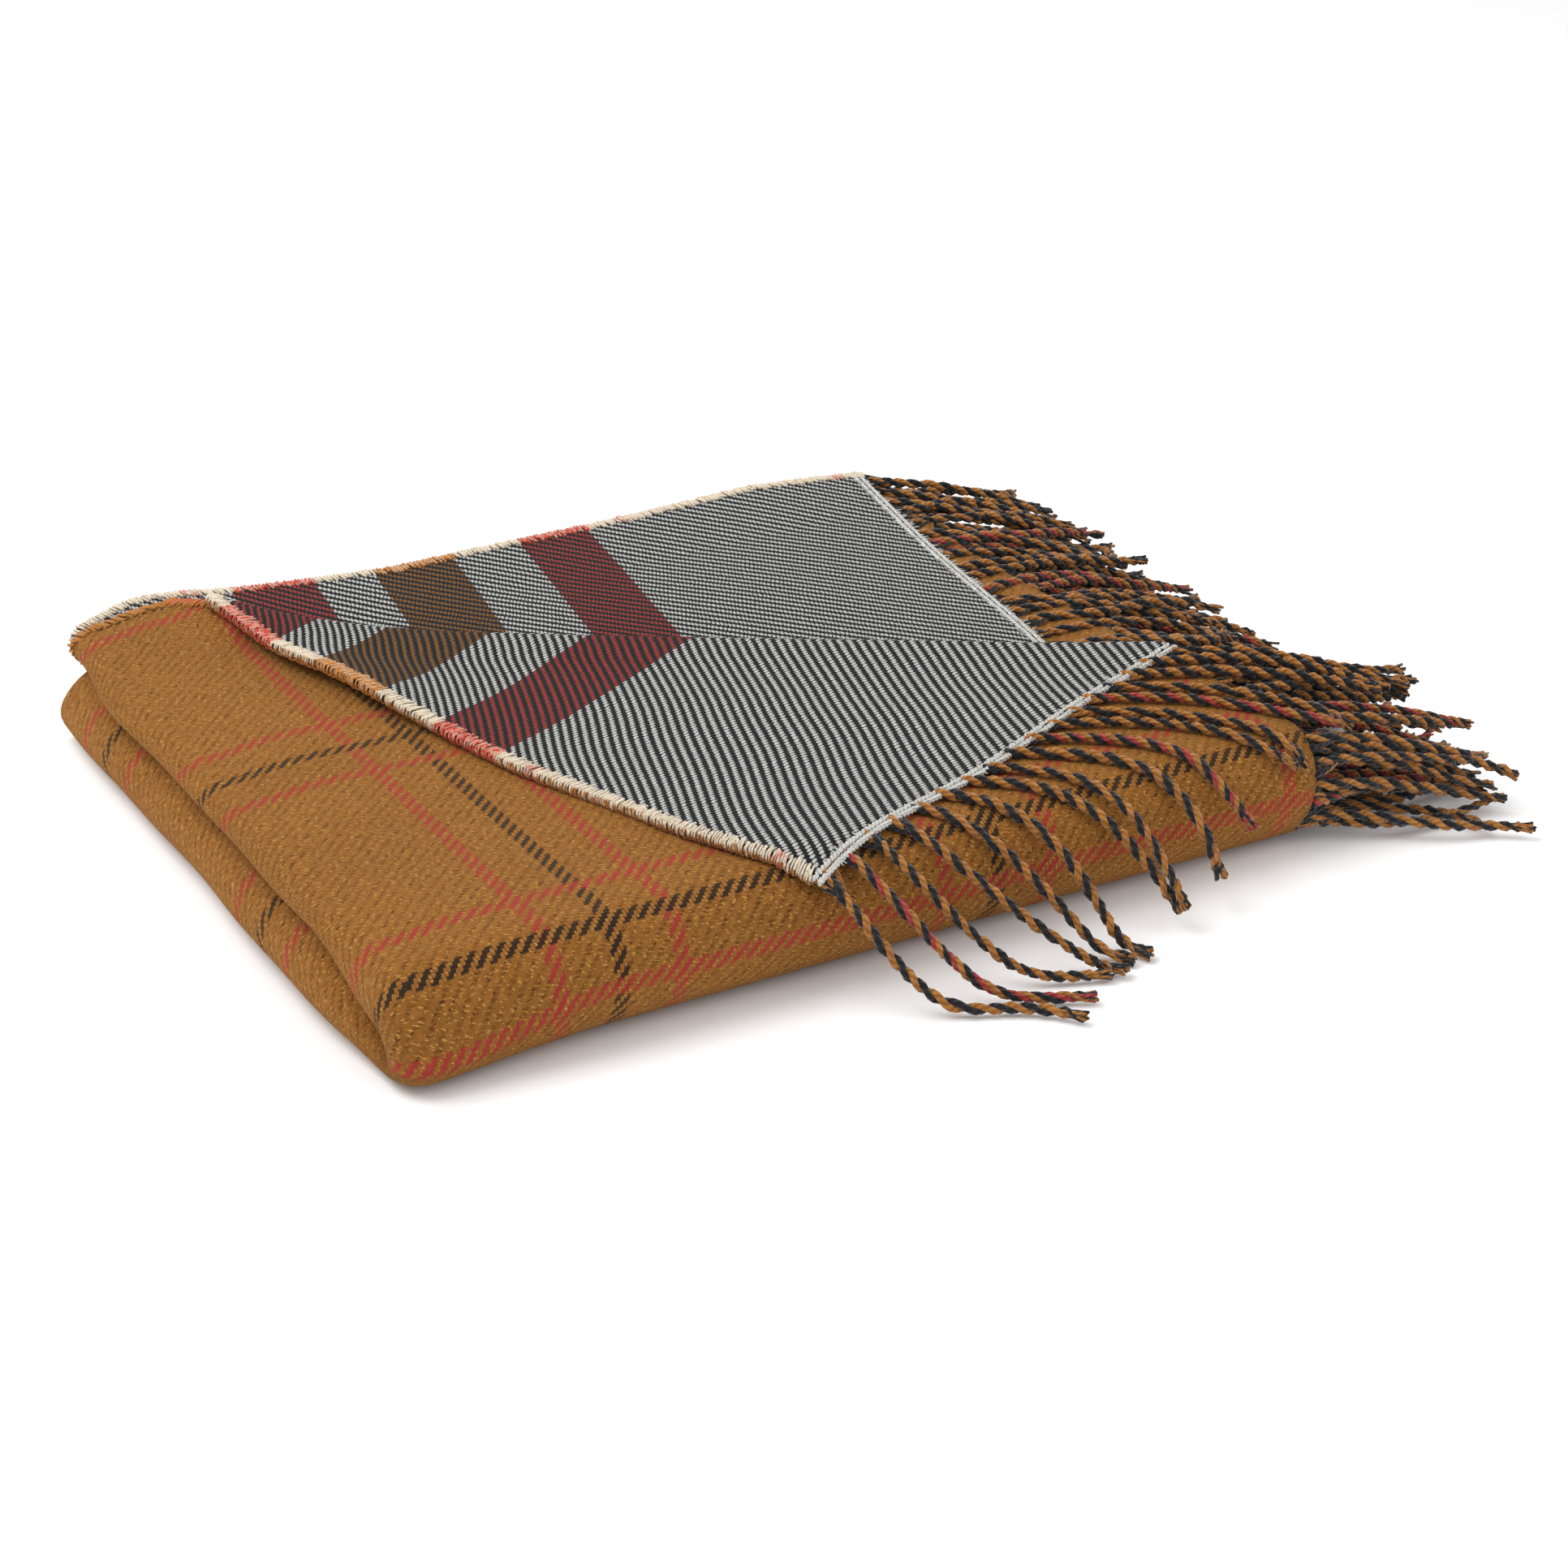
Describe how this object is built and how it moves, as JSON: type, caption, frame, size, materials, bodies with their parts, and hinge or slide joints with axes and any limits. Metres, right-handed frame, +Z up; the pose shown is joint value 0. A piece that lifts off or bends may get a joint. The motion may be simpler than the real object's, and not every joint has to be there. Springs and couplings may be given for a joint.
{
  "type": "folded throw blanket",
  "caption": "Double-faced woven throw with a windowpane check, folded flat to a pack with one corner turned back and twisted fringes.",
  "frame": {"origin": "on the resting surface, under the middle of the folded pack", "axes": "+X from the left fold to the fringed side, +Y from the front fold to the back, +Z up"},
  "size_m": [0.492, 0.4375, 0.0515],
  "materials": {
    "cloth_front_face": "brushed twill",
    "cloth_back_face": "black and white twill",
    "serged_selvedge": "serged yarn",
    "twisted_fringe": "two-ply twisted yarn"
  },
  "bodies": {
    "pack": {"upper_leaf_1": "cloth_front_face", "upper_leaf_2": "cloth_front_face", "upper_leaf_3": "cloth_front_face", "upper_leaf_4": "cloth_front_face", "upper_leaf_5": "cloth_front_face", "upper_leaf_6": "cloth_front_face", "upper_leaf_7": "cloth_front_face", "upper_leaf_8": "cloth_front_face", "lower_leaf_1": "cloth_front_face", "lower_leaf_2": "cloth_front_face", "lower_leaf_3": "cloth_front_face", "lower_leaf_4": "cloth_front_face", "lower_leaf_5": "cloth_front_face", "lower_leaf_6": "cloth_front_face", "lower_leaf_7": "cloth_front_face", "lower_leaf_8": "cloth_front_face", "front_fold_1": "cloth_front_face", "front_fold_2": "cloth_front_face", "front_fold_3": "cloth_front_face", "front_fold_4": "cloth_front_face", "front_fold_5": "cloth_front_face", "front_fold_6": "cloth_front_face", "front_fold_7": "cloth_front_face", "front_fold_8": "cloth_front_face", "upper_left_fold_1": "cloth_front_face", "upper_left_fold_2": "cloth_front_face", "upper_left_fold_3": "cloth_front_face", "upper_left_fold_4": "cloth_front_face", "lower_left_fold_1": "cloth_front_face", "lower_left_fold_2": "cloth_front_face", "lower_left_fold_3": "cloth_front_face", "lower_left_fold_4": "cloth_front_face", "upper_mid_fold_1": "cloth_front_face", "upper_mid_fold_2": "cloth_front_face", "lower_mid_fold_1": "cloth_front_face", "lower_mid_fold_2": "cloth_front_face", "back_fold_1": "cloth_front_face", "back_fold_2": "cloth_front_face", "back_fold_3": "cloth_front_face", "back_fold_4": "cloth_front_face", "front_left_corner": "cloth_front_face", "front_right_corner": "cloth_front_face", "selvedge_1": "serged_selvedge", "selvedge_2": "serged_selvedge", "selvedge_3": "serged_selvedge", "selvedge_4": "serged_selvedge", "upper_fringe_1": "twisted_fringe", "upper_fringe_2": "twisted_fringe", "upper_fringe_3": "twisted_fringe", "upper_fringe_4": "twisted_fringe", "lower_fringe_1": "twisted_fringe", "lower_fringe_2": "twisted_fringe", "lower_fringe_3": "twisted_fringe", "lower_fringe_4": "twisted_fringe", "front_fringe": "twisted_fringe", "crease_roll": "cloth_front_face"},
    "corner_flap": {"corner_flap": "cloth_back_face", "flap_fringe": "twisted_fringe"}
  },
  "joints": [
    {"name": "corner_crease", "type": "hinge", "parent": "pack", "child": "corner_flap", "pos_m": [-0.122, 0.13, 0.0472], "axis": [-0.8457, 0.5336, 0], "range_deg": [0, 180], "deforming": ["crease_roll", "flap_fringe"]}
  ]
}
